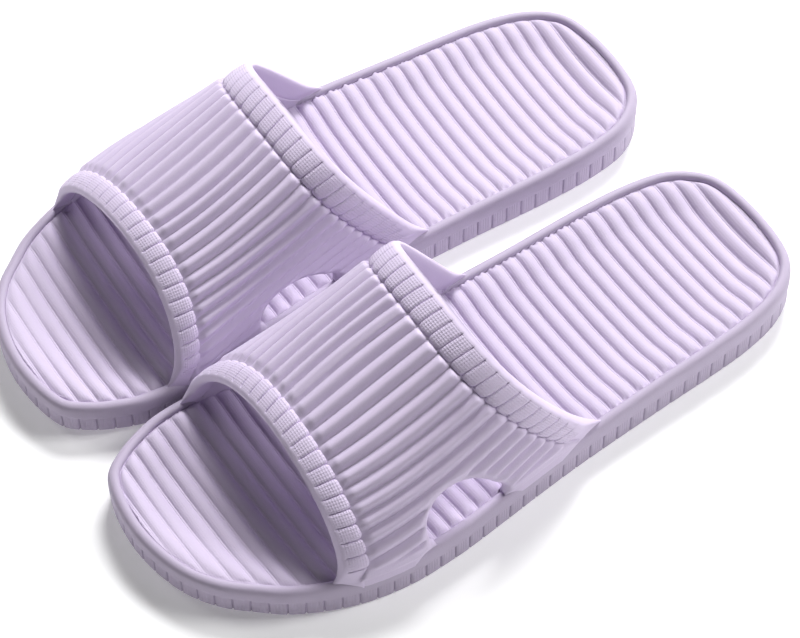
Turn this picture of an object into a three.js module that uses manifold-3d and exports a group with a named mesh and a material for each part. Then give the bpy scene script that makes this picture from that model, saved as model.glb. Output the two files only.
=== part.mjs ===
// A pair of moulded foam bathroom slides: each one a sole with a raised rim, a ribbed footbed in the
// rim, and a ribbed strap with a knit-textured band along its front and its rear edge.
// Millimetres, +Z up, toes towards -Y. The left slide stands at +X and the right one mirrors it.
import * as THREE from "three";
import Module from "manifold-3d";

const wasm = await Module();
wasm.setup();

// Sole
const SOLE_LENGTH = 255;
const SLIDE_OFFSET = 51.5; // centre line of each slide from the mirror plane
const RIM_TOP_HEEL = 16.8;
const RIM_TOP_TOE = 12.6;
const TOE_SPRING = 3.3; // lift of the toe tip off the floor
const SPRING_START = 0.7; // where the toe starts to lift, as a share of the length from the heel
const RIM_WIDTH = 4.0;
const POCKET_DEPTH = 8.0;
const GAP = 0.3; // clearance between neighbouring pieces
const RING_POINTS = 72;

// Footbed
const FOOTBED_RIB_PITCH = 6.0;
const FOOTBED_RIB_HEIGHT = 1.2;
const FOOTBED_BELOW_RIM = 0.8;
const DISH_HEEL = 3.2;
const DISH_TOE = 1.6;

// Strap
const STRAP_THICKNESS = 3.4;
const STRAP_INSET = 1.4; // strap face in from the side of the sole
const STRAP_RIBS = 30;
const STRAP_RIB_HEIGHT = 0.9;
const FRONT_BAND_WIDTH = 9.6;
const REAR_BAND_WIDTH = 10.6;
const BAND_RAISE = 0.9;
const FRONT_ARCH = {
  height: 30.3, apexY: -76.5, outerY: -79.9, innerY: -85.2,
  outerPower: 1.78, innerPower: 1.95, outerSweep: 1.6, innerSweep: 1.3, skew: -3.0,
};
const REAR_ARCH = {
  height: 55.8, apexY: -13.4, outerY: 24.1, innerY: 20.4,
  outerPower: 2.22, innerPower: 3.6, outerSweep: 1.22, innerSweep: 1.1, skew: -4.4,
};

// Half-moon vent through each side of the strap
const VENT_FRONT_Y = -47.8;
const VENT_REAR_Y = -16.5;
const VENT_HEIGHT_OUTER = 18;
const VENT_HEIGHT_INNER = 14;
const VENT_FLOOR = 1.0; // strap left under the vent

const LAVENDER = 0xcabbdc;
const LAVENDER_LIGHT = 0xd9cde6;
const LAVENDER_SIDE = 0xbfb0d0;

// Outline of the left slide seen from above, about its centre line, from the toe tip round the
// little-toe side to the heel and back along the arch side.
const OUTLINE = [
  [-11.6, -127.5], [10.6, -123.2], [23.0, -115.6], [31.7, -105.8], [38.7, -96.2], [46.7, -77.0],
  [49.9, -57.7], [49.3, -38.5], [46.7, -19.2], [43.7, 0.0], [41.1, 19.2], [37.3, 57.7], [35.7, 77.0],
  [33.3, 96.2], [29.0, 110.7], [22.4, 120.3], [14.6, 125.1], [-4.9, 127.5], [-24.9, 125.1],
  [-32.4, 120.3], [-39.2, 110.7], [-42.3, 96.2], [-43.1, 77.0], [-42.1, 38.5], [-42.2, 0.0],
  [-43.3, -19.2], [-45.2, -38.5], [-47.8, -57.7], [-49.8, -77.0], [-48.9, -96.2], [-46.1, -105.8],
  [-41.4, -115.6], [-34.7, -123.2],
];

const outlineCurve = new THREE.CatmullRomCurve3(
  OUTLINE.map(([x, y]) => new THREE.Vector3(x, y, 0)), true, "centripetal");

// Points of the outline with their outward normals, stretched so the sole is exactly its length.
function outlineSamples(count) {
  const points = outlineCurve.getSpacedPoints(count).slice(0, count);
  const ys = points.map((p) => p.y);
  const low = Math.min(...ys);
  const scale = SOLE_LENGTH / (Math.max(...ys) - low);
  points.forEach((p) => { p.y = (p.y - low) * scale - SOLE_LENGTH / 2; });
  return points.map((p, i) => {
    const before = points[(i + count - 1) % count];
    const after = points[(i + 1) % count];
    const along = after.clone().sub(before).normalize();
    return { x: p.x, y: p.y, nx: along.y, ny: -along.x };
  });
}

const OUTLINE_RING = outlineSamples(RING_POINTS);
const OUTLINE_FINE = outlineSamples(720);

function heelShare(y) {
  return (SOLE_LENGTH / 2 - y) / SOLE_LENGTH;
}

function springAt(y) {
  const t = Math.max(0, (heelShare(y) - SPRING_START) / (1 - SPRING_START));
  return TOE_SPRING * t * t;
}

function rimTopAt(y) {
  return RIM_TOP_HEEL + (RIM_TOP_TOE - RIM_TOP_HEEL) * heelShare(y) + springAt(y);
}

// Inner and outer x of the outline at one y.
function widthAt(y) {
  let inner = 0;
  let outer = 0;
  const count = OUTLINE_FINE.length;
  for (let i = 0; i < count; i += 1) {
    const a = OUTLINE_FINE[i];
    const b = OUTLINE_FINE[(i + 1) % count];
    if ((a.y - y) * (b.y - y) > 0 || a.y === b.y) continue;
    const x = a.x + ((b.x - a.x) * (y - a.y)) / (b.y - a.y);
    inner = Math.min(inner, x);
    outer = Math.max(outer, x);
  }
  return { inner, outer };
}

// Builds one closed geometry out of corner points and faces given as point numbers.
function closedGeometry(points, faces) {
  const geometry = new THREE.BufferGeometry();
  geometry.setAttribute("position", new THREE.Float32BufferAttribute(points.flat(), 3));
  geometry.setIndex(faces.flat());
  geometry.computeVertexNormals();
  return geometry;
}

function quad(a, b, c, d) {
  return [[a, b, c], [a, c, d]];
}

// A solid between two grids of the same size: upper[i][j] over lower[i][j], i running towards +X
// or round the arch, j towards the heel.
function sheetSolid(upper, lower) {
  const rows = upper.length;
  const cols = upper[0].length;
  const points = [...upper.flat(), ...lower.flat()];
  const top = (i, j) => i * cols + j;
  const under = (i, j) => rows * cols + i * cols + j;
  const faces = [];
  for (let i = 0; i + 1 < rows; i += 1) {
    for (let j = 0; j + 1 < cols; j += 1) {
      faces.push(...quad(top(i, j), top(i + 1, j), top(i + 1, j + 1), top(i, j + 1)));
      faces.push(...quad(under(i, j), under(i, j + 1), under(i + 1, j + 1), under(i + 1, j)));
    }
    faces.push(...quad(top(i, 0), under(i, 0), under(i + 1, 0), top(i + 1, 0)));
    const last = cols - 1;
    faces.push(...quad(top(i, last), top(i + 1, last), under(i + 1, last), under(i, last)));
  }
  for (let j = 0; j + 1 < cols; j += 1) {
    faces.push(...quad(top(0, j), top(0, j + 1), under(0, j + 1), under(0, j)));
    const last = rows - 1;
    faces.push(...quad(top(last, j), under(last, j), under(last, j + 1), top(last, j + 1)));
  }
  return closedGeometry(points, faces);
}

// A solid through a stack of rings, closed at both ends by strips from side to side.
function ringSolid(rings) {
  const count = rings[0].length;
  const points = rings.flat();
  const faces = [];
  for (let r = 0; r + 1 < rings.length; r += 1) {
    for (let i = 0; i < count; i += 1) {
      const j = (i + 1) % count;
      faces.push(...quad(r * count + i, r * count + j, (r + 1) * count + j, (r + 1) * count + i));
    }
  }
  const last = (rings.length - 1) * count;
  for (let i = 0; i < count / 2; i += 1) {
    const far = (count - i) % count;
    const next = i + 1;
    const farNext = count - next;
    if (i > 0) faces.push([i, far, next], [last + i, last + next, last + far]);
    if (next < farNext) faces.push([next, far, farNext], [last + next, last + farNext, last + far]);
  }
  return closedGeometry(points, faces);
}

function ringAt(inset, heightOf) {
  return OUTLINE_RING.map((p) => [p.x - p.nx * inset, p.y - p.ny * inset, heightOf(p.y)]);
}

function soleGeometry() {
  const top = (drop) => (y) => rimTopAt(y) - drop;
  const bottom = (rise) => (y) => springAt(y) + rise;
  return ringSolid([
    ringAt(0.8, bottom(0)),
    ringAt(0, bottom(0.8)),
    ringAt(0, top(1.8)),
    ringAt(0.5, top(0.5)),
    ringAt(1.8, top(0)),
    ringAt(RIM_WIDTH - 0.8, top(0.1)),
    ringAt(RIM_WIDTH, top(0.8)),
    ringAt(RIM_WIDTH, top(POCKET_DEPTH)),
  ]);
}

function toManifold(geometry) {
  const mesh = new wasm.Mesh({
    numProp: 3,
    vertProperties: new Float32Array(geometry.getAttribute("position").array),
    triVerts: new Uint32Array(geometry.getIndex().array),
  });
  return new wasm.Manifold(mesh);
}

function fromManifold(solid) {
  const mesh = solid.getMesh();
  const geometry = new THREE.BufferGeometry();
  geometry.setAttribute("position", new THREE.Float32BufferAttribute(mesh.vertProperties, 3));
  geometry.setIndex(Array.from(mesh.triVerts));
  geometry.computeVertexNormals();
  return geometry;
}

// Straight rounded ribs across the foot: valley, two shoulders, valley.
function footbedRows() {
  const rows = [];
  const start = -SOLE_LENGTH / 2;
  for (let y = start; y < SOLE_LENGTH / 2; y += FOOTBED_RIB_PITCH) {
    rows.push({ y, rise: 0 });
    rows.push({ y: y + 0.28 * FOOTBED_RIB_PITCH, rise: 0.9 });
    rows.push({ y: y + 0.72 * FOOTBED_RIB_PITCH, rise: 0.9 });
  }
  return rows;
}

function footbedGeometry() {
  const columns = [-52, -34, -17, 0, 17, 34, 52];
  const rows = footbedRows();
  const topOf = (x, row) => {
    const share = heelShare(row.y);
    const dish = DISH_HEEL + (DISH_TOE - DISH_HEEL) * share;
    const hollow = dish * (1 - Math.min(1, (x / 44) ** 2));
    const rib = FOOTBED_RIB_HEIGHT * (row.rise * (1 - 0.5 * Math.max(0, share)) - 1);
    return rimTopAt(row.y) - FOOTBED_BELOW_RIM - hollow + rib;
  };
  const upper = columns.map((x) => rows.map((row) => [x, row.y, topOf(x, row)]));
  const lower = columns.map((x) => rows.map((row) => [x, row.y, 0]));
  const slab = toManifold(sheetSolid(upper, lower));
  const inset = RIM_WIDTH + GAP;
  const floor = (y) => rimTopAt(y) - POCKET_DEPTH + GAP;
  const well = toManifold(ringSolid([ringAt(inset, floor), ringAt(inset, () => 40)]));
  return fromManifold(slab.intersect(well));
}

// One point of an arch: c runs 1 at the little-toe side to -1 at the arch side, rise 0 to 1 to 0.
function archPoint(arch, angle) {
  const outer = angle <= Math.PI / 2;
  const power = outer ? arch.outerPower : arch.innerPower;
  const cosine = Math.cos(angle);
  const rise = Math.max(0, Math.sin(angle)) ** (2 / power);
  const baseY = outer ? arch.outerY : arch.innerY;
  const sweep = outer ? arch.outerSweep : arch.innerSweep;
  return {
    c: Math.sign(cosine) * Math.abs(cosine) ** (2 / power),
    y: arch.apexY + (baseY - arch.apexY) * (1 - rise) ** sweep,
    height: arch.height * rise,
  };
}

// The strap's face without its ribs, at an angle round the arch and a share from front to rear.
function strapFace(angle, share) {
  const front = archPoint(FRONT_ARCH, angle);
  const rear = archPoint(REAR_ARCH, angle);
  const mix = (a, b) => a + (b - a) * share;
  const y = mix(front.y, rear.y);
  const c = mix(front.c, rear.c);
  const side = widthAt(y);
  const skew = mix(FRONT_ARCH.skew, REAR_ARCH.skew);
  const middle = (side.inner + side.outer) / 2 + skew;
  const reach = c >= 0 ? side.outer - STRAP_INSET - middle : middle - side.inner - STRAP_INSET;
  return new THREE.Vector3(middle + reach * c, y, rimTopAt(y) + GAP + mix(front.height, rear.height));
}

function strapNormal(angle, share) {
  const step = 0.004;
  const a0 = Math.max(0, angle - step);
  const a1 = Math.min(Math.PI, angle + step);
  const round = strapFace(a1, share).sub(strapFace(a0, share));
  const along = strapFace(angle, share + step).sub(strapFace(angle, share - step));
  return along.cross(round).normalize();
}

// Angles that split the arch of the strap at one share of its length into equal parts.
function evenAngles(count, share) {
  const fine = 600;
  const lengths = [0];
  for (let i = 1; i <= fine; i += 1) {
    const a = strapFace((Math.PI * (i - 1)) / fine, share);
    lengths.push(lengths[i - 1] + a.distanceTo(strapFace((Math.PI * i) / fine, share)));
  }
  const angles = [];
  let at = 0;
  for (let k = 0; k <= count; k += 1) {
    const want = (lengths[fine] * k) / count;
    while (at < fine - 1 && lengths[at + 1] < want) at += 1;
    const part = (want - lengths[at]) / (lengths[at + 1] - lengths[at]);
    angles.push((Math.PI * (at + part)) / fine);
  }
  return angles;
}

// A sheet of the strap with count strips round the arch. shares gives where its rows lie from front
// to rear, out of the strap's own length there; lift(strip, row) raises the face off the plain strap.
function strapSheet(count, shares, lift) {
  const upper = [];
  const lower = [];
  const front = evenAngles(count, 0);
  const rear = evenAngles(count, 1);
  for (let i = 0; i <= count; i += 1) {
    const onRim = i === 0 || i === count;
    const length = strapFace(front[i], 0).distanceTo(strapFace(rear[i], 1));
    const raised = (share, height) => {
      const angle = front[i] + (rear[i] - front[i]) * share;
      const p = strapFace(angle, share);
      const n = strapNormal(angle, share).multiplyScalar(height);
      return [p.x + n.x, p.y + n.y, onRim ? p.z : p.z + n.z];
    };
    upper.unshift(shares(length).map((share, j) => raised(share, lift(i, j))));
    lower.unshift(shares(length).map((share) => raised(share, -STRAP_THICKNESS)));
  }
  return sheetSolid(upper, lower);
}

// The vent's outline pushed through one side of the strap: outer is the little-toe side.
function ventCutter(height, outer) {
  const shape = new THREE.Shape();
  const middle = (VENT_FRONT_Y + VENT_REAR_Y) / 2;
  const floor = rimTopAt(middle) + GAP + VENT_FLOOR;
  const top = floor + height;
  shape.moveTo(VENT_REAR_Y, floor);
  shape.lineTo(VENT_REAR_Y, floor + 2);
  shape.bezierCurveTo(VENT_REAR_Y - 4, floor + 0.72 * height, middle + 6, top, middle - 3, top);
  shape.bezierCurveTo(middle - 11, top, VENT_FRONT_Y, floor + 0.78 * height, VENT_FRONT_Y, floor + 0.4 * height);
  shape.lineTo(VENT_FRONT_Y, floor);
  const cutter = new THREE.ExtrudeGeometry(shape, { depth: 70, bevelEnabled: false, curveSegments: 6 });
  cutter.applyMatrix4(new THREE.Matrix4().makeBasis(
    new THREE.Vector3(0, 1, 0), new THREE.Vector3(0, 0, 1), new THREE.Vector3(1, 0, 0)));
  cutter.translate(outer ? 0 : -70, 0, 0);
  return toManifold(welded(cutter));
}

// Joins the corners that share a place, so that a geometry is closed by its point numbers.
function welded(geometry) {
  const position = geometry.getAttribute("position");
  const places = new Map();
  const points = [];
  const faces = [];
  const numberOf = (i) => {
    const p = [position.getX(i), position.getY(i), position.getZ(i)];
    const key = p.map((v) => Math.round(v * 1e4)).join();
    if (!places.has(key)) {
      places.set(key, points.length);
      points.push(p);
    }
    return places.get(key);
  };
  for (let i = 0; i < position.count; i += 3) {
    faces.push([numberOf(i), numberOf(i + 1), numberOf(i + 2)]);
  }
  return closedGeometry(points, faces);
}

function strapGeometry() {
  const shares = (length) => {
    const from = (FRONT_BAND_WIDTH + GAP) / length;
    const to = 1 - (REAR_BAND_WIDTH + GAP) / length;
    return [0, 0.25, 0.5, 0.75, 1].map((t) => from + (to - from) * t);
  };
  const lift = (i) => (i % 3 === 0 ? 0 : STRAP_RIB_HEIGHT);
  const shell = toManifold(strapSheet(STRAP_RIBS * 3, shares, lift));
  const vented = shell.subtract(ventCutter(VENT_HEIGHT_OUTER, true));
  return fromManifold(vented.subtract(ventCutter(VENT_HEIGHT_INNER, false)));
}

// A band along one edge of the strap, rounded over at both of its own edges.
function bandGeometry(atRear) {
  const profile = [[0, 0.35], [0.14, 1], [0.86, 1], [1, 0.35]];
  const width = atRear ? REAR_BAND_WIDTH : FRONT_BAND_WIDTH;
  const shares = (length) => profile.map(
    ([t]) => (atRear ? 1 - (width * (1 - t)) / length : (width * t) / length));
  const lift = (i, j) => (i % 2 === 0 ? BAND_RAISE * 0.4 : BAND_RAISE) * profile[j][1];
  return strapSheet(STRAP_RIBS * 2, shares, lift);
}

function flipped(geometry) {
  const mirror = geometry.clone();
  mirror.applyMatrix4(new THREE.Matrix4().makeScale(-1, 1, 1));
  const index = mirror.getIndex().array;
  for (let i = 0; i < index.length; i += 3) {
    const keep = index[i + 1];
    index[i + 1] = index[i + 2];
    index[i + 2] = keep;
  }
  mirror.computeVertexNormals();
  return mirror;
}

const pieces = [
  { name: "sole", geometry: soleGeometry(), color: LAVENDER_SIDE, roughness: 0.75 },
  { name: "footbed", geometry: footbedGeometry(), color: LAVENDER_LIGHT, roughness: 0.8 },
  { name: "strap", geometry: strapGeometry(), color: LAVENDER, roughness: 0.75 },
  { name: "strap_front_band", geometry: bandGeometry(false), color: LAVENDER_LIGHT, roughness: 0.85 },
  { name: "strap_rear_band", geometry: bandGeometry(true), color: LAVENDER_LIGHT, roughness: 0.85 },
];

const pair = new THREE.Group();
pair.name = "slides";
for (const side of ["left", "right"]) {
  for (const piece of pieces) {
    const placed = piece.geometry.clone();
    placed.translate(SLIDE_OFFSET, 0, 0);
    const geometry = side === "left" ? placed : flipped(placed);
    const material = new THREE.MeshStandardMaterial({
      color: piece.color, roughness: piece.roughness, metalness: 0,
    });
    const mesh = new THREE.Mesh(geometry, material);
    mesh.name = `${side}_${piece.name}`;
    pair.add(mesh);
  }
}

export default pair;
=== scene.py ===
import math

import bmesh
import bpy
import numpy as np
from mathutils import Matrix, Vector


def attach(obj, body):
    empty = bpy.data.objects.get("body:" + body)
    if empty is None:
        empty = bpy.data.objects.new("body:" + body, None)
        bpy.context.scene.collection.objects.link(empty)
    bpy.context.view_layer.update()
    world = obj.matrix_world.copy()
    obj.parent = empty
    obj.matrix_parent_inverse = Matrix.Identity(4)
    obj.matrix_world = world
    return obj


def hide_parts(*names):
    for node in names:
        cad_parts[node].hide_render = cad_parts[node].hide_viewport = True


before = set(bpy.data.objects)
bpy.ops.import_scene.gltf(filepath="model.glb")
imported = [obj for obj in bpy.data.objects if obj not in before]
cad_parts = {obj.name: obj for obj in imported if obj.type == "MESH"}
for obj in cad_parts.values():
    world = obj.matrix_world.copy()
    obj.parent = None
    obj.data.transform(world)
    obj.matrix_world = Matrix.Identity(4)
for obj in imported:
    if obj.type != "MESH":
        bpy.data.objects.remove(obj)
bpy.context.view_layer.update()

# ---------------------------------------------------------------------------------------------
# Camera: looks down over the little-toe side of the left slide, from well back with a long lens,
# so the two soles keep nearly parallel edges.
lens_millimetres = 141.9
camera_place = Vector((0.5715, -0.3568, 0.8917))
camera_turn = math.radians(57.7)
camera_height = math.radians(53.13)
camera_roll = math.radians(0.76)

camera = bpy.data.objects.new("camera", bpy.data.cameras.new("camera"))
camera.data.lens = lens_millimetres
camera.matrix_world = (
    Matrix.Translation(camera_place)
    @ Matrix.Rotation(camera_turn, 4, "Z")
    @ Matrix.Rotation(math.pi / 2 - camera_height, 4, "X")
    @ Matrix.Rotation(-camera_roll, 4, "Z")
)
bpy.context.scene.collection.objects.link(camera)
bpy.context.scene.camera = camera

# ---------------------------------------------------------------------------------------------
# Sole: one moulding of matt lavender EVA foam. It has a smooth round-topped rim about 4 mm wide,
# a side wall scored from the floor up to a fine step under the rim, and a toe that lifts a little.
mm = 0.001
sole_length = 255 * mm
slide_offset = 51.5 * mm
rim_height_heel = 16.8 * mm
rim_height_toe = 12.6 * mm
toe_lift = 3.3 * mm
toe_lift_from = 0.7
score_pitch = 6.1 * mm
score_depth = 0.65 * mm
score_floor = 0.1 * mm
score_slope = 0.35 * mm
score_top = 9.4 * mm
score_end = 0.4 * mm
wall_face = 1.3 * mm  # as far in as this, the section belongs to the side wall
reeds_per_score = 6

# The left sole's outline seen from above, in millimetres: from the toe tip along the little-toe
# side to the heel, and back along the big-toe side.
outline_marks = mm * np.array([
    (-11.6, -127.5), (10.6, -123.2), (23.0, -115.6), (31.7, -105.8), (38.7, -96.2), (46.7, -77.0),
    (49.9, -57.7), (49.3, -38.5), (46.7, -19.2), (43.7, 0.0), (41.1, 19.2), (37.3, 57.7), (35.7, 77.0),
    (33.3, 96.2), (29.0, 110.7), (22.4, 120.3), (14.6, 125.1), (-4.9, 127.5), (-24.9, 125.1),
    (-32.4, 120.3), (-39.2, 110.7), (-42.3, 96.2), (-43.1, 77.0), (-42.1, 38.5), (-42.2, 0.0),
    (-43.3, -19.2), (-45.2, -38.5), (-47.8, -57.7), (-49.8, -77.0), (-48.9, -96.2), (-46.1, -105.8),
    (-41.4, -115.6), (-34.7, -123.2),
])


def faired(marks, steps):
    """A closed smooth line through the marks, with steps points from each mark to the next."""
    line = []
    for i in range(len(marks)):
        p0, p1, p2, p3 = (marks[(i + k) % len(marks)] for k in (-1, 0, 1, 2))
        a, b, c = (math.sqrt(np.linalg.norm(q - p)) for p, q in ((p0, p1), (p1, p2), (p2, p3)))
        leave = b * ((p1 - p0) / a - (p2 - p0) / (a + b) + (p2 - p1) / b)
        arrive = b * ((p2 - p1) / b - (p3 - p1) / (b + c) + (p3 - p2) / c)
        for t in np.arange(steps) / steps:
            line.append((2 * t**3 - 3 * t**2 + 1) * p1 + (t**3 - 2 * t**2 + t) * leave
                        + (3 * t**2 - 2 * t**3) * p2 + (t**3 - t**2) * arrive)
    return np.array(line)


outline = faired(outline_marks, 40)
outline[:, 1] = (outline[:, 1] - outline[:, 1].min()) * sole_length / np.ptp(outline[:, 1])
outline[:, 1] -= sole_length / 2
closed_outline = np.vstack([outline, outline[:1]])
outline_run = np.concatenate([[0], np.cumsum(np.linalg.norm(np.diff(closed_outline, axis=0), axis=1))])
outline_around = outline_run[-1]
toe_tip, heel_tip = outline[:, 1].argmin(), outline[:, 1].argmax()
outer_side = np.roll(outline, -toe_tip, axis=0)[:heel_tip - toe_tip + 1]
inner_side = np.roll(outline, -heel_tip, axis=0)[:len(outline) - heel_tip + toe_tip + 1][::-1]


def smooth(t):
    """Eases from 0 to 1 as t goes from 0 to 1."""
    t = np.clip(t, 0, 1)
    return t * t * (3 - 2 * t)


def on_outline(run):
    """Points of the outline at these distances from the toe tip, and the outward directions there."""
    run = np.mod(run, outline_around)
    place = np.stack([np.interp(run, outline_run, closed_outline[:, k]) for k in (0, 1)], -1)
    ahead, behind = np.mod(run + mm, outline_around), np.mod(run - mm, outline_around)
    along = np.stack([np.interp(ahead, outline_run, closed_outline[:, k])
                      - np.interp(behind, outline_run, closed_outline[:, k]) for k in (0, 1)], -1)
    along /= np.linalg.norm(along, axis=-1, keepdims=True)
    return place, np.stack([along[..., 1], -along[..., 0]], -1)


def lift_at(y):
    """How far the underside is off the floor."""
    toeward = (sole_length / 2 - y) / sole_length
    return toe_lift * np.clip((toeward - toe_lift_from) / (1 - toe_lift_from), 0, 1) ** 2


def rim_at(y):
    """Height of the rim's top."""
    toeward = (sole_length / 2 - y) / sole_length
    return rim_height_heel + (rim_height_toe - rim_height_heel) * toeward + lift_at(y)


def verts_as_array(bm):
    bm.verts.ensure_lookup_table()
    return np.array([v.co for v in bm.verts], float)


def place_verts(bm, places):
    for v, co in zip(bm.verts, places):
        v.co = co


def make_pair(bm, piece, material, marks=None):
    """Puts the finished left piece and its mirror image on the two slides, each on its own body."""
    for side, mirror in (("left", 1), ("right", -1)):
        one = bm.copy()
        bmesh.ops.translate(one, verts=one.verts, vec=(slide_offset, 0, 0))
        if mirror < 0:
            bmesh.ops.scale(one, verts=one.verts, vec=(-1, 1, 1))
            bmesh.ops.reverse_faces(one, faces=one.faces)
        mesh = bpy.data.meshes.new(f"{side}_{piece}_foam")
        for face in one.faces:
            face.smooth = True
        one.to_mesh(mesh)
        one.free()
        for name, (kind, field, values) in (marks or {}).items():
            layer = mesh.attributes.new(name, kind, "POINT").data
            layer.foreach_set(field, np.ravel(values).astype(np.float32))
        made = bpy.data.objects.new(mesh.name, mesh)
        bpy.context.scene.collection.objects.link(made)
        made.data.materials.append(material)
        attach(made, f"{side}_slide")
        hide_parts(f"{side}_{piece}")


# The wall's section from under the sole, up the side, over the rim and down into the pocket:
# how far in from the outline, and how high, in millimetres at the heel.
wall_section = [
    (3.0, 0.0), (1.2, 0.0), (0.6, 0.15), (0.25, 0.6), (0.2, 1.3), (0.2, 4.0), (0.2, 7.0), (0.2, 8.9),
    (0.18, 9.3), (0.0, 9.6), (0.0, 10.6), (0.0, 12.4), (0.1, 13.9), (0.32, 14.9), (0.75, 15.8),
    (1.35, 16.4), (2.1, 16.75), (2.9, 16.75), (3.5, 16.4), (3.9, 15.8), (4.05, 15.0), (4.05, 9.0),
]
score_count = round(outline_around / score_pitch)
score_steps = (0.0, 0.035, 0.07, 0.2, 0.5, 0.8, 0.93, 0.965)
stations = np.array([k + step for k in range(score_count) for step in score_steps])
stations = stations * outline_around / score_count

sole = bmesh.new()
section_radius = 60 * mm  # of the plain ring that is spun first, then drawn out to the outline
section = [sole.verts.new((section_radius - inset * mm, 0, height * mm)) for inset, height in wall_section]
for lower, upper in zip(section, section[1:]):
    sole.edges.new((lower, upper))
bmesh.ops.spin(sole, geom=sole.verts[:] + sole.edges[:], cent=(0, 0, 0), axis=(0, 0, 1),
               angle=2 * math.pi, steps=len(stations), use_merge=True)
bmesh.ops.holes_fill(sole, edges=[e for e in sole.edges if e.is_boundary], sides=0)
turned = verts_as_array(sole)
turn = np.arctan2(turned[:, 1], turned[:, 0]) / (2 * math.pi)
station = np.round(turn * len(stations)).astype(int) % len(stations)
inset = section_radius - np.hypot(turned[:, 0], turned[:, 1])
level = turned[:, 2]
run = stations[station]
to_score = np.abs((run / outline_around * score_count + 0.5) % 1 - 0.5) * outline_around / score_count
across_score = 1 - smooth((to_score - score_floor / 2) / score_slope)
under_step = 1 - smooth((level - score_top + score_end) / score_end)
scored = across_score * under_step
on_wall = inset < wall_face
inset = np.where(on_wall, inset + score_depth * scored, inset)
spot, outward = on_outline(run)
ground = spot - outward * inset[:, None]
rise = lift_at(ground[:, 1]) + level / rim_height_heel * (rim_at(ground[:, 1]) - lift_at(ground[:, 1]))
place_verts(sole, np.column_stack([ground, rise]))
bmesh.ops.recalc_face_normals(sole, faces=sole.faces)
wall_grain = np.column_stack([to_score / mm, level / mm, on_wall & (level < score_top)])

lavender = (0.605, 0.526, 0.685, 1)
lavender_deep = (0.565, 0.487, 0.65, 1)


def foam(name, painted_brightness=1.0, roughness=0.62):
    """Matt EVA foam: lavender that clouds very slightly, with the fine skin of a moulding. Its brightness
    factor paints light or shade onto the part: above 1 is painted light, below 1 is painted shade.
    """
    material = bpy.data.materials.new(name)
    material.use_nodes = True
    nodes, links = material.node_tree.nodes, material.node_tree.links
    skin = nodes["Principled BSDF"]
    skin.inputs["Roughness"].default_value = roughness
    skin.inputs["Specular IOR Level"].default_value = 0.35
    place = nodes.new("ShaderNodeTexCoord")
    cloud = nodes.new("ShaderNodeTexNoise")
    cloud.inputs["Scale"].default_value = 55
    cloud.inputs["Detail"].default_value = 3
    links.new(place.outputs["Object"], cloud.inputs["Vector"])
    dye = nodes.new("ShaderNodeMix")
    dye.data_type = "RGBA"
    dye.inputs["A"].default_value = tuple(painted_brightness * c for c in lavender_deep[:3]) + (1,)
    dye.inputs["B"].default_value = tuple(painted_brightness * c for c in lavender[:3]) + (1,)
    links.new(cloud.outputs["Fac"], dye.inputs["Factor"])
    links.new(dye.outputs["Result"], skin.inputs["Base Color"])
    grain = nodes.new("ShaderNodeTexNoise")
    grain.inputs["Scale"].default_value = 2600
    grain.inputs["Detail"].default_value = 2
    links.new(place.outputs["Object"], grain.inputs["Vector"])
    bump = nodes.new("ShaderNodeBump")
    bump.inputs["Strength"].default_value = 0.5
    bump.inputs["Distance"].default_value = 0.00012
    links.new(grain.outputs["Fac"], bump.inputs["Height"])
    links.new(bump.outputs["Normal"], skin.inputs["Normal"])
    return material, bump


def math_node(nodes, links, operation, *terms):
    """A Math node of one operation; each term is a number or another node's output."""
    node = nodes.new("ShaderNodeMath")
    node.operation = operation
    for socket, term in zip(node.inputs, terms):
        if isinstance(term, (int, float)):
            socket.default_value = term
        else:
            links.new(term, socket)
    return node.outputs[0]


# Painted shade: the sole's foam is made darker than the same foam on the strap. This stands in for the
# dimmer light on its side walls.
sole_foam, skin_bump = foam("sole_foam", 0.83)
nodes, links = sole_foam.node_tree.nodes, sole_foam.node_tree.links
grain_mark = nodes.new("ShaderNodeAttribute")
grain_mark.attribute_name = "wall_grain"
wall = nodes.new("ShaderNodeSeparateXYZ")
links.new(grain_mark.outputs["Vector"], wall.inputs[0])
reed_turn = 2 * math.pi * reeds_per_score / (score_pitch / mm)
reeds = math_node(nodes, links, "COSINE", math_node(nodes, links, "MULTIPLY", wall.outputs["X"], reed_turn))
reeds = math_node(nodes, links, "MULTIPLY", reeds, wall.outputs["Z"])
reed_bump = nodes.new("ShaderNodeBump")
reed_bump.inputs["Strength"].default_value = 0.5
reed_bump.inputs["Distance"].default_value = 0.00007
links.new(reeds, reed_bump.inputs["Height"])
links.new(reed_bump.outputs["Normal"], skin_bump.inputs["Normal"])
make_pair(sole, "sole", sole_foam, {"wall_grain": ("FLOAT_VECTOR", "vector", wall_grain)})
sole.free()

# ---------------------------------------------------------------------------------------------
# Footbed: the ribbed bed inside the rim. Its broad ribs run straight across the foot, round over
# at both ends, and are parted by twin hairline grooves. They flatten out towards the toe, and the
# bed is dished a little across its width.
rib_pitch = 5.95 * mm
rib_start = 3.1 * mm
rib_slant = 1.0 * mm
rib_steps = (0.0, 0.03, 0.065, 0.1, 0.15, 0.22, 0.31, 0.43, 0.57, 0.69, 0.78, 0.85, 0.9, 0.935, 0.97)
bed_edge = 4.1 * mm
bed_below_rim_heel = 0.6 * mm
bed_below_rim_toe = 0.3 * mm
dish_heel = 4.4 * mm
dish_toe = 2.7 * mm
rib_height_heel = 1.6 * mm
rib_height_toe = 1.45 * mm
groove_half = 0.38 * mm
rib_end_start = 0.4 * mm
rib_end_run = 3.2 * mm
bed_knit_pitch = 0.8 * mm

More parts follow.
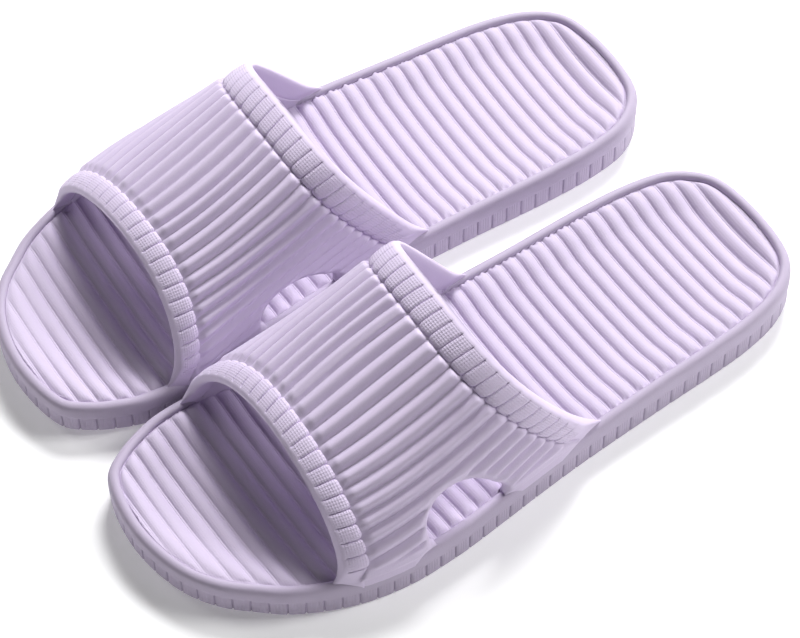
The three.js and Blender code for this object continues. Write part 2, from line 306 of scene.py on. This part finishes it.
bed_tip = sole_length / 2 - bed_edge - 0.05 * mm
bed_rows = np.array([rib_start + (k + step) * rib_pitch for k in range(-24, 22) for step in rib_steps])
bed_rows = np.concatenate([[-bed_tip], bed_rows[np.abs(bed_rows) < bed_tip - 0.3 * mm], [bed_tip]])
footbed = bmesh.new()
bmesh.ops.create_grid(footbed, x_segments=56, y_segments=len(bed_rows) - 1, size=1)
grid = verts_as_array(footbed)
across = np.sin(grid[:, 0] * math.pi / 2)
bed_y = bed_rows[np.round((grid[:, 1] + 1) / 2 * (len(bed_rows) - 1)).astype(int)]
bed_y = bed_y + rib_slant * across * (1 - (bed_y / bed_tip) ** 8)
inset_line = outline - on_outline(outline_run[:-1])[1] * bed_edge
bed_outer = np.roll(inset_line, -inset_line[:, 1].argmin(), axis=0)
split = bed_outer[:, 1].argmax() + 1
bed_inner = np.vstack([bed_outer[split - 1:], bed_outer[:1]])[::-1]
bed_outer = bed_outer[:split]
x_outer = np.interp(bed_y, bed_outer[:, 1], bed_outer[:, 0])
x_inner = np.interp(bed_y, bed_inner[:, 1], bed_inner[:, 0])
bed_x = (x_outer + x_inner) / 2 + (x_outer - x_inner) / 2 * across
from_rim = np.concatenate([
    np.sqrt(((part[:, None, :] - inset_line[None, ::3, :]) ** 2).sum(-1)).min(1)
    for part in np.array_split(np.column_stack([bed_x, bed_y]), 200)])
toeward = (sole_length / 2 - bed_y) / sole_length
straight = bed_y - rib_slant * across * (1 - (bed_y / bed_tip) ** 8)
from_groove = np.abs(((straight - rib_start) / rib_pitch + 0.5) % 1 - 0.5) * rib_pitch
rib = np.clip((from_groove - groove_half) / (rib_pitch / 2 - groove_half), 0, 1)
rib = (1 - (1 - rib) ** 2) ** 0.75
between_grooves = 0.16 * np.exp(-((from_groove / (0.2 * mm)) ** 2))
toe_share = smooth((toeward - 0.6) / 0.3)
rib_height = rib_height_heel + (rib_height_toe - rib_height_heel) * toe_share
rib_height = rib_height * (1 - 0.6 * smooth((toeward - 0.76) / 0.2) * (0.5 + 0.5 * across))
rib_end = np.sqrt(1 - (1 - np.clip((from_rim - rib_end_start) / rib_end_run, 0, 1)) ** 2)
dish = dish_heel + (dish_toe - dish_heel) * toeward
hollow = dish * (1 - np.clip(np.abs(across), 0, 1) ** 2.2) * smooth(from_rim / (14 * mm))
below_rim = bed_below_rim_heel + (bed_below_rim_toe - bed_below_rim_heel) * toe_share
bed_z = rim_at(bed_y) - below_rim - hollow + rib_height * (np.maximum(rib, between_grooves) * rib_end - 1)
place_verts(footbed, np.column_stack([bed_x, bed_y, bed_z]))
skirt = bmesh.ops.extrude_edge_only(footbed, edges=[e for e in footbed.edges if e.is_boundary])
for v in skirt["geom"]:
    if isinstance(v, bmesh.types.BMVert):
        v.co.z = lift_at(v.co.y) + 0.55 * (rim_at(v.co.y) - lift_at(v.co.y))
bmesh.ops.holes_fill(footbed, edges=[e for e in footbed.edges if e.is_boundary], sides=0)
bmesh.ops.recalc_face_normals(footbed, faces=footbed.faces)


def add_knit(material, bump, columns, rows, mask, depth):
    """Presses a fine knit into the foam: small pillows in columns and rows, counted in turns."""
    nodes, links = material.node_tree.nodes, material.node_tree.links
    waves = [math_node(nodes, links, "ABSOLUTE", math_node(nodes, links, "SINE", math_node(
        nodes, links, "MULTIPLY", turns, math.pi))) for turns in (columns, rows)]
    dots = math_node(nodes, links, "POWER", math_node(nodes, links, "MULTIPLY", *waves), 0.6)
    if mask is not None:
        dots = math_node(nodes, links, "MULTIPLY", dots, mask)
    press = nodes.new("ShaderNodeBump")
    press.inputs["Strength"].default_value = 1.0
    press.inputs["Distance"].default_value = depth
    links.new(dots, press.inputs["Height"])
    links.new(press.outputs["Normal"], bump.inputs["Normal"])


footbed_foam, skin_bump = foam("footbed_foam")
nodes, links = footbed_foam.node_tree.nodes, footbed_foam.node_tree.links
bed_place = nodes.new("ShaderNodeTexCoord")
bed_axes = nodes.new("ShaderNodeSeparateXYZ")
links.new(bed_place.outputs["Object"], bed_axes.inputs[0])
bed_turns = [math_node(nodes, links, "DIVIDE", bed_axes.outputs[k], bed_knit_pitch) for k in ("X", "Y")]
add_knit(footbed_foam, skin_bump, *bed_turns, None, 0.00004)
make_pair(footbed, "footbed", footbed_foam)
footbed.free()

# ---------------------------------------------------------------------------------------------
# Strap: the ribbed upper over the foot, moulded in one with the sole's rim. It is an arch that
# rises from the front opening to the rear one. Round ribs run its whole length, more of them at the
# rear edge than at the front, and a half-moon vent is cut low through each side.
front_arch = {
    "height": 30.3 * mm, "apex_y": -76.5 * mm, "outer_y": -79.9 * mm, "inner_y": -85.2 * mm,
    "outer_power": 1.78, "inner_power": 1.95, "outer_sweep": 1.6, "inner_sweep": 1.3,
    "skew": -3.0 * mm, "fillet": -3.0 * mm,
}
rear_arch = {
    "height": 55.8 * mm, "apex_y": -13.4 * mm, "outer_y": 24.1 * mm, "inner_y": 20.4 * mm,
    "outer_power": 2.22, "inner_power": 3.6, "outer_sweep": 1.22, "inner_sweep": 1.1,
    "skew": -4.4 * mm, "fillet": 3.5 * mm,
}
strap_thickness = 3.4 * mm
strap_inset = 1.3 * mm
strap_bow = 0.15  # how hollow the slope from front to rear is
ridge_inward = 4.5 * mm  # how far the middle of the strap leans to the big-toe side
front_band_width = 9.6 * mm
rear_band_width = 9.8 * mm
ribs_rear = 34
ribs_lost = 4.5  # ribs on each side that run out on the rim before the front edge
rib_relief = 2.0 * mm
vent_front, vent_rear = -47.8 * mm, -15.8 * mm
vent_tops = {"outer": 18.5 * mm, "inner": 14.5 * mm}
vent_roll = 1.3 * mm
under_band = 1.6 * mm
strap_around = 160 * mm  # about its length over the foot from rim to rim
foot_steps = (0.35, 0.9, 1.7, 2.7, 3.6)  # millimetres down from the rim's top


def arch_at(arch, angle):
    """One end arch of the strap at angles from the little-toe side: sideways share, y, and height."""
    outer = angle <= math.pi / 2
    power = np.where(outer, arch["outer_power"], arch["inner_power"])
    side = np.cos(angle)
    lift = np.maximum(np.sin(angle), 0) ** (2 / power)
    base = np.where(outer, arch["outer_y"], arch["inner_y"])
    sweep = np.where(outer, arch["outer_sweep"], arch["inner_sweep"])
    y = arch["apex_y"] + (base - arch["apex_y"]) * (1 - lift) ** sweep
    y = y + arch["fillet"] * np.exp(-arch["height"] * lift / (2.2 * mm))
    return np.sign(side) * np.abs(side) ** (2 / power), y, arch["height"] * lift


def grown_out(y, outer):
    """How flush the strap stands with the side wall: 1 when flush, 0 at its tips and beside a vent.
    The second value counts the tips alone."""
    front = np.where(outer, front_arch["outer_y"], front_arch["inner_y"]) + front_arch["fillet"]
    rear = np.where(outer, rear_arch["outer_y"], rear_arch["inner_y"]) + rear_arch["fillet"]
    tips = smooth((y - front - 1 * mm) / (9 * mm)) * smooth((rear - y - 1 * mm) / (17 * mm))
    beside_vent = np.where(y < (vent_front + vent_rear) / 2, vent_front - y, y - vent_rear)
    return tips * smooth(beside_vent / (7 * mm)), tips


def strap_face(angle, share, depth=0.0, lining=False):
    """The strap's plain outer face, or its lining. Depth is how far its foot reaches into the rim."""
    c0, y0, h0 = arch_at(front_arch, angle)
    c1, y1, h1 = arch_at(rear_arch, angle)
    c, y = (a + (b - a) * share for a, b in ((c0, c1), (y0, y1)))
    high = h0 + (h1 - h0) * (share + strap_bow * share * (share - 1))
    edge_out = np.interp(y, outer_side[:, 1], outer_side[:, 0])
    edge_in = np.interp(y, inner_side[:, 1], inner_side[:, 0])
    skew = front_arch["skew"] + (rear_arch["skew"] - front_arch["skew"]) * share
    middle = (edge_out + edge_in) / 2 + skew - 4 * ridge_inward * share * (1 - share)
    outer = c >= 0
    flush, tips = grown_out(y, outer)
    if lining:
        inset = strap_inset + strap_thickness - (1 - tips) * 1.7 * mm * np.exp(-(high / (3 * mm)) ** 2)
    else:
        inside_rim = (2.3 - tips) * mm + (0.15 + 0.2 * tips) * depth
        at_rim = flush * (0.15 * mm - 0.03 * depth) + (1 - flush) * inside_rim
        inset = at_rim + (strap_inset - at_rim) * (1 - np.exp(-high / (3 * mm)))
    x = np.where(outer, middle + (edge_out - inset - middle) * c, middle + (middle - edge_in - inset) * c)
    sunk = (1 - tips) * 1.2 * mm * np.exp(-high / (1.2 * mm))
    return np.stack([x, y, rim_at(y) + high - depth - sunk], -1)


def even_angles(share):
    """Angles round the arch at one share of its length, for equal steps along the arch."""
    angles = np.linspace(0, math.pi, 2001)
    line = strap_face(angles, share)
    run = np.concatenate([[0], np.cumsum(np.linalg.norm(np.diff(line, axis=0), axis=1))])
    return run / run[-1], angles


even_front, even_rear = even_angles(0.0), even_angles(1.0)


def angle_at(s, share):
    front, rear = (np.interp(s, *even) for even in (even_front, even_rear))
    return front + (rear - front) * share


def strap_out(angle, share):
    """Directions straight out of the strap's face."""
    step = 0.003
    a0, a1 = np.clip(angle - step, 0.0005, math.pi), np.clip(angle + step, 0, math.pi - 0.0005)
    around = strap_face(a1, share) - strap_face(a0, share)
    along = strap_face(angle, share + step) - strap_face(angle, share - step)
    out = np.cross(along, around)
    return out / np.maximum(np.linalg.norm(out, axis=-1, keepdims=True), 1e-12)


def strap_reach(s):
    """The strap's length from front edge to rear edge at a place round the arch."""
    return np.linalg.norm(strap_face(angle_at(s, 1.0), 1.0) - strap_face(angle_at(s, 0.0), 0.0), axis=-1)


def place_round(rib, share):
    """Where round the arch a rib line lies. The outermost ribs run off onto the rim."""
    front = (rib - ribs_lost) / (ribs_rear - 2 * ribs_lost)
    return front + (rib / ribs_rear - front) * share


def vent_line(top):
    """Half-moon outline of a vent: distance along the foot and height over the rim."""
    def bend(*marks):
        p0, p1, p2, p3 = (np.array(p) for p in marks)
        t = np.linspace(0, 1, 30)[:, None]
        return (1 - t)**3 * p0 + 3 * (1 - t)**2 * t * p1 + 3 * (1 - t) * t**2 * p2 + t**3 * p3
    middle = (vent_front + vent_rear) / 2
    shoulder = (vent_rear - 5 * mm, 0.62 * top)
    peak = (middle - 3 * mm, top)
    waist = (vent_front, 0.42 * top)
    toe_corner = vent_front + 3.5 * mm
    rear = bend((vent_rear, 4.6 * mm), (vent_rear, 7 * mm), (vent_rear - 3 * mm, 8.2 * mm), shoulder)
    crown = bend(shoulder, (middle + 5 * mm, 0.95 * top), (middle + 1 * mm, top), peak)
    front = bend(peak, (middle - 10 * mm, top), (vent_front, 0.78 * top), waist)
    low = bend(waist, (vent_front, 0.2 * top), (vent_front + 0.6 * mm, 1.5 * mm), (toe_corner, -1 * mm))
    inside_rim = [(toe_corner, -8 * mm), (vent_rear, -8 * mm)]
    return np.vstack([inside_rim, rear, crown, front, low])


def off_line(y, high, line):
    """Signed distance to a closed outline, positive outside it."""
    points = np.stack([y, high], -1)
    a, b = line, np.roll(line, -1, axis=0)
    ab = b - a
    found = np.full(len(points), 1.0)
    inside = np.zeros(len(points), bool)
    for k in range(len(a)):
        ap = points - a[k]
        t = np.clip((ap @ ab[k]) / max(ab[k] @ ab[k], 1e-15), 0, 1)
        found = np.minimum(found, np.linalg.norm(ap - t[:, None] * ab[k], axis=-1))
        crosses = (a[k, 1] > points[:, 1]) != (b[k, 1] > points[:, 1])
        if abs(ab[k, 1]) > 1e-12:
            crossing = a[k, 0] + ab[k, 0] * (points[:, 1] - a[k, 1]) / ab[k, 1]
            inside ^= crosses & (points[:, 0] < crossing)
    return np.where(inside, -found, found)


vent_lines = {side: vent_line(top) for side, top in vent_tops.items()}


def off_vents(angle, share):
    """Distance from the nearer vent's edge, along the strap's face."""
    face = strap_face(angle, share)
    high = face[:, 2] - rim_at(face[:, 1])
    off_outer, off_inner = (off_line(face[:, 1], high, vent_lines[side]) for side in ("outer", "inner"))
    return np.where(face[:, 0] > 0, off_outer, off_inner)


def strap_share(s, v):
    """Share of the full strap for a row between the two bands."""
    reach = strap_reach(s)
    start = (front_band_width - under_band) / reach
    end = 1 - (rear_band_width - under_band) / reach
    return start + (end - start) * v


def strap_spot(flat):
    """Reads a vertex of the flat pattern (rib, row) as a place round the arch and a share of it."""
    rib, v = flat[:, 0], flat[:, 1]
    share = np.full(len(rib), 0.5)
    for _ in range(4):
        s = place_round(rib, share)
        share = strap_share(np.clip(s, 0, 1), v)
    return s, share


strap = bmesh.new()
bmesh.ops.create_grid(strap, x_segments=ribs_rear * 14, y_segments=66, size=0.5)
bmesh.ops.translate(strap, verts=strap.verts, vec=(0.5, 0.5, 0))
bmesh.ops.scale(strap, verts=strap.verts, vec=(ribs_rear, 1, 1))
strap.verts.index_update()
flat = verts_as_array(strap)
s, share = strap_spot(flat)
clear = off_vents(angle_at(np.clip(s, 0, 1), share), share)
gone = []
for face in strap.faces:
    corners = [v.index for v in face.verts]
    if clear[corners].mean() < 0 or not 0 < s[corners].mean() < 1:
        gone.append(face)
bmesh.ops.delete(strap, geom=gone, context="FACES")
bmesh.ops.delete(strap, geom=[v for v in strap.verts if not v.link_faces], context="VERTS")
strap.verts.index_update()


def cut_gaps(pattern):
    """Distances from the vents' lines and from the strap's foot, for places of the flat pattern."""
    s, share = strap_spot(pattern)
    to_foot = np.where(s < 0.5, s, 1 - s) * strap_around
    return np.array([off_vents(angle_at(np.clip(s, 0, 1), share), share), to_foot])


# Cut edges are drawn onto the true lines of the vents and of the strap's foot, and the corners
# where a vent meets the foot onto both.
cut = [v for v in strap.verts if v.is_boundary and 1e-6 < v.co.y < 1 - 1e-6]
cut_number = {v: k for k, v in enumerate(cut)}
flat = np.array([v.co for v in cut], float)
gap = np.abs(cut_gaps(flat))
by_vent = gap[0] < gap[1]
corner = np.zeros(len(cut), bool)
for k, v in enumerate(cut):
    beside = [cut_number.get(e.other_vert(v)) for e in v.link_edges if e.is_boundary]
    corner[k] = by_vent[k] and any(n is not None and not by_vent[n] for n in beside)
for _ in range(6):
    gap = cut_gaps(flat)
    slope = []
    for axis, step in ((0, 1e-3), (1, 1e-4)):
        moved = flat.copy()
        moved[:, axis] += step
        slope.append((cut_gaps(moved) - gap) / step)
    slope = np.array(slope)
    one_gap = np.where(by_vent, gap[0], gap[1])
    one_slope = np.where(by_vent, slope[:, 0], slope[:, 1])
    turn = one_slope * np.array([[1.0], [0.0025]])
    move = -one_gap * turn / np.maximum((one_slope * turn).sum(0), 1e-12)
    for k in np.flatnonzero(corner):
        move[:, k] = np.linalg.lstsq(slope[:, :, k].T, -gap[:, k], rcond=None)[0]
    flat[:, 0] += np.clip(move[0], -0.2, 0.2)
    flat[:, 1] = np.clip(flat[:, 1] + np.clip(move[1], -0.02, 0.02), 1e-5, 1 - 1e-5)
for v, co in zip(cut, flat):
    v.co = co

# The foot of the strap is carried down into the rim, flush with the side wall.
strap.verts.index_update()
flat = verts_as_array(strap)
s, _ = strap_spot(flat)
at_foot = (s < 0.004) | (s > 0.996)
foot_edges = [e for e in strap.edges if e.is_boundary and all(at_foot[v.index] for v in e.verts)]
for depth in foot_steps:
    drawn = bmesh.ops.extrude_edge_only(strap, edges=foot_edges)["geom"]
    foot_edges = [g for g in drawn if isinstance(g, bmesh.types.BMEdge)]
    for v in drawn:
        if isinstance(v, bmesh.types.BMVert):
            v.co.z = depth

# The sheet gets its thickness: one copy becomes the ribbed face, the other the plain lining.
outer_skin = strap.verts.layers.float.new("outer_skin")
wall = bmesh.ops.extrude_face_region(strap, geom=strap.faces[:], use_keep_orig=True)["geom"]
for v in wall:
    if isinstance(v, bmesh.types.BMVert):
        v[outer_skin] = 1
flat = verts_as_array(strap)
is_outer = np.array([v[outer_skin] for v in strap.verts]) > 0.5
s, share = strap_spot(flat)
angle = angle_at(np.clip(s, 0.0, 1.0), share)
depth = flat[:, 2] * mm
plain = strap_face(angle, share, depth)
out = strap_out(angle, share)
high = plain[:, 2] - rim_at(plain[:, 1]) + depth
vent_gap = np.maximum(off_vents(angle, share), 0)
over = vent_roll - np.minimum(vent_gap, vent_roll)
rolled = (vent_roll - np.sqrt(np.maximum(vent_roll**2 - over**2, 0))) * smooth(high / (1.6 * mm))
reach = strap_reach(np.clip(s, 0, 1))
to_rear = (1 - share) * reach - rear_band_width
phase = np.abs(2 * (flat[:, 0] % 1) - 1)
relief = (1 - phase**1.7) ** 0.95
margin = smooth((vent_gap - 1.6 * mm) / (1.8 * mm)) * smooth((high - 3.2 * mm) / (2.6 * mm))
to_front = share * reach - front_band_width
rounded_end = np.sqrt(1 - (1 - np.clip((to_rear - 0.1 * mm) / (1.9 * mm), 0, 1)) ** 2)
rounded_end = rounded_end * (0.45 + 0.55 * smooth(to_front / (3 * mm))) * smooth(1.2 + to_front / (1.2 * mm))
plain_part = 0.55 * rib_relief * (1 - margin) * smooth(vent_gap / (2 * mm)) * smooth(high / (2 * mm))
skin_lift = (rib_relief * relief * margin * rounded_end + plain_part - rolled) * (depth == 0)
place = plain + out * skin_lift[:, None]
lining = strap_face(angle, share, depth, True)
inner = lining + (plain - lining) * np.minimum(rolled / strap_thickness, 0.4)[:, None]
place = np.where(is_outer[:, None], place, inner)
place_verts(strap, place)
bmesh.ops.recalc_face_normals(strap, faces=strap.faces)
# Painted light: the strap's foam is made lighter than the same foam on the sole. This stands in for the
# brighter light on the strap's top.
strap_foam, _ = foam("strap_foam", 1.1)
make_pair(strap, "strap", strap_foam)
strap.free()

# ---------------------------------------------------------------------------------------------
# Bands: a raised band along the strap's front edge and another along its rear edge. Each has a
# smooth rolled lip at the opening and a knit-textured field, which a fine slit splits in line with
# every groove of the strap.
slit_depth = 1.2 * mm
band_crown = 0.4  # millimetres that a band's middle stands over its edges
stitch_length = 0.95 * mm
stitches_per_rib = 5
slit_steps = (0.0, 0.03, 0.07, 0.14, 0.28, 0.5, 0.72, 0.86, 0.93, 0.97)


def band_section(width, knit_from, edge):
    """Closed section of a band, in millimetres: distance from the opening, and height over the strap."""
    w = width / mm
    field = [(w, -3.4), (w, -1.0), (w, 0.1), (w - 0.12, 0.5), (w - 0.4, 0.82), (w - 0.9, 0.98)]
    crowned = np.linspace(w - 1.8, knit_from + 0.9, 7)
    field += [(a, 1.0 + band_crown * math.sin(math.pi * (a - knit_from) / (w - knit_from))) for a in crowned]
    field += [(knit_from + 0.35, 1.0), (knit_from, 0.85)]
    turns = np.radians([12, 26, 40, 54, 68, 80, 90])
    lip = [(knit_from - (knit_from - edge) * math.sin(t), 0.85 - 2.65 * (1 - math.cos(t))) for t in turns]
    under = [(edge + 0.15, -2.3), (edge + 0.6, -2.85), (edge + 1.5, -3.25), (edge + 2.8, -3.4)]
    under += [(w - 3, -3.4)]
    return field + lip + under


def make_band(piece, width, at_rear, first, last, knit_from, edge, plain_foot):
    """Spins a band's section over half a turn, a row for every step from its first rib to its last,
    then lays each row on the strap. The rows at the ends run down into the rim."""
    band = bmesh.new()
    turn_radius = 60 * mm
    section = band_section(width, knit_from, edge)
    ring = [band.verts.new((turn_radius + across * mm, 0, lift * mm)) for across, lift in section]
    for here, beyond in zip(ring, ring[1:] + ring[:1]):
        band.edges.new((here, beyond))
    steps = [k + step for k in range(int(first), int(last) + 1) for step in slit_steps]
    steps = [rib for rib in steps if first < rib < last]
    feet = len(foot_steps)
    ribs = np.array([first] * (feet + 1) + steps + [last] * (feet + 1))
    foot = np.zeros(len(ribs))
    foot[:feet] = np.array(foot_steps[::-1]) * mm
    foot[-feet:] = np.array(foot_steps) * mm
    bmesh.ops.spin(band, geom=band.verts[:] + band.edges[:], cent=(0, 0, 0), axis=(0, 0, 1),
                   angle=math.pi, steps=len(ribs) - 1, use_merge=False)
    bmesh.ops.remove_doubles(band, verts=band.verts, dist=1e-7)
    bmesh.ops.holes_fill(band, edges=[e for e in band.edges if e.is_boundary], sides=0)
    turned = verts_as_array(band)
    half_turns = np.arctan2(turned[:, 1], turned[:, 0]) % (2 * math.pi) / math.pi
    row = np.clip(np.round(half_turns * (len(ribs) - 1)).astype(int), 0, len(ribs) - 1)
    rib, depth = ribs[row], foot[row]
    across = np.hypot(turned[:, 0], turned[:, 1]) - turn_radius
    lift = turned[:, 2]
    s = (rib - first) / (last - first)
    reach = strap_reach(s)
    phase = np.abs(2 * (rib % 1) - 1)
    back = smooth((across - width + 2 * mm) / (2 * mm)) * (lift > -0.9 * mm)
    part = (across - 1.1 * mm * phase**5 * back) / reach
    share = 1 - part if at_rear else part
    angle = angle_at(s, share)
    out = strap_out(angle, share)
    skin = strap_face(angle, share, depth)
    lining = strap_face(angle, share, depth, True)
    high = lining[:, 2] - rim_at(lining[:, 1]) + depth
    inward = np.clip(-lift / strap_thickness, 0, 1)[:, None]
    ends = smooth((high - 2.5 * mm) / (5 * mm))
    plain_from = knit_from * mm + plain_foot * (1 - smooth((high - 3 * mm) / (16 * mm)))
    field = smooth((across - plain_from - 0.1 * mm) / (0.25 * mm))
    slit = slit_depth * np.clip((phase - 0.9) / 0.1, 0, 1) ** 1.5 * field * ends
    swell = 0.22 * mm * (1 - phase**2) * smooth((across - knit_from * mm + 1.5 * mm) / (1.5 * mm)) * ends
    raised = np.where(lift > 0, lift * (0.1 + 0.9 * ends) - slit + swell, 0)
    place = (skin + out * raised[:, None]) * (1 - inward) + lining * inward
    place_verts(band, place)
    bmesh.ops.recalc_face_normals(band, faces=band.faces)
    stitches = np.column_stack([rib * stitches_per_rib, across / stitch_length, (lift > 0) * field * ends])
    make_pair(band, piece, band_foam, {"stitches": ("FLOAT_VECTOR", "vector", stitches)})
    band.free()


# Painted light: the bands' foam is made lighter still than the strap's. This stands in for the light that
# falls on their raised knit.
band_foam, skin_bump = foam("band_foam", 1.17, 0.7)
nodes, links = band_foam.node_tree.nodes, band_foam.node_tree.links
stitch_mark = nodes.new("ShaderNodeAttribute")
stitch_mark.attribute_name = "stitches"
stitch = nodes.new("ShaderNodeSeparateXYZ")
links.new(stitch_mark.outputs["Vector"], stitch.inputs[0])
add_knit(band_foam, skin_bump, stitch.outputs["X"], stitch.outputs["Y"], stitch.outputs["Z"], 0.00014)
make_band("strap_front_band", front_band_width, False, first=ribs_lost, last=ribs_rear - ribs_lost,
          knit_from=1.5, edge=-0.4, plain_foot=0.5 * mm)
make_band("strap_rear_band", rear_band_width, True, first=0, last=ribs_rear,
          knit_from=0.2, edge=-2.0, plain_foot=3.5 * mm)

# ---------------------------------------------------------------------------------------------
# Room: a white floor, three soft lamps and a surround that is pale near the horizon. The Standard
# view keeps the lavender and the white as they are painted.
floor_mesh = bmesh.new()
bmesh.ops.create_grid(floor_mesh, x_segments=1, y_segments=1, size=3)
floor = bpy.data.objects.new("floor", bpy.data.meshes.new("floor"))
floor_mesh.to_mesh(floor.data)
floor_mesh.free()
bpy.context.scene.collection.objects.link(floor)
floor_paint = bpy.data.materials.new("floor_paint")
floor_paint.use_nodes = True
paint = floor_paint.node_tree.nodes["Principled BSDF"].inputs
paint["Base Color"].default_value = (0.95, 0.95, 0.955, 1)
paint["Roughness"].default_value = 1.0
paint["Specular IOR Level"].default_value = 0.0
paint["Emission Color"].default_value = (1, 1, 1, 1)
paint["Emission Strength"].default_value = 0.2
floor.data.materials.append(floor_paint)

surround = bpy.data.worlds.new("surround")
surround.use_nodes = True
sky_nodes, sky_links = surround.node_tree.nodes, surround.node_tree.links
sky_nodes["Background"].inputs["Color"].default_value = (1, 1, 1, 1)
looking = sky_nodes.new("ShaderNodeTexCoord")
looking_up = sky_nodes.new("ShaderNodeSeparateXYZ")
sky_links.new(looking.outputs["Generated"], looking_up.inputs[0])
paling = sky_nodes.new("ShaderNodeMapRange")
paling.interpolation_type = "SMOOTHSTEP"
for socket, value in (("From Min", 0.09), ("From Max", 0.2), ("To Min", 0.7), ("To Max", 0.03)):
    paling.inputs[socket].default_value = value
sky_links.new(looking_up.outputs["Z"], paling.inputs["Value"])
sky_links.new(paling.outputs["Result"], sky_nodes["Background"].inputs["Strength"])
bpy.context.scene.world = surround
bpy.context.scene.view_settings.view_transform = "Standard"

# Each lamp's name, its turn clockwise from the heels and its height in degrees, and its watts.
lamp_distance = 1.4
lamp_size = 0.45
for name, turn, height, power in (("key", -45, 52, 21.5), ("second", 28, 46, 10.5), ("fill", -120, 32, 3.0)):
    lamp = bpy.data.objects.new(name, bpy.data.lights.new(name, "AREA"))
    lamp.data.energy = power
    lamp.data.size = lamp_size
    turn, height = math.radians(turn), math.radians(height)
    reach = lamp_distance * math.cos(height)
    place = Vector((reach * math.sin(turn), reach * math.cos(turn), lamp_distance * math.sin(height)))
    lamp.matrix_world = Matrix.Translation(place) @ place.to_track_quat("Z", "Y").to_matrix().to_4x4()
    bpy.context.scene.collection.objects.link(lamp)
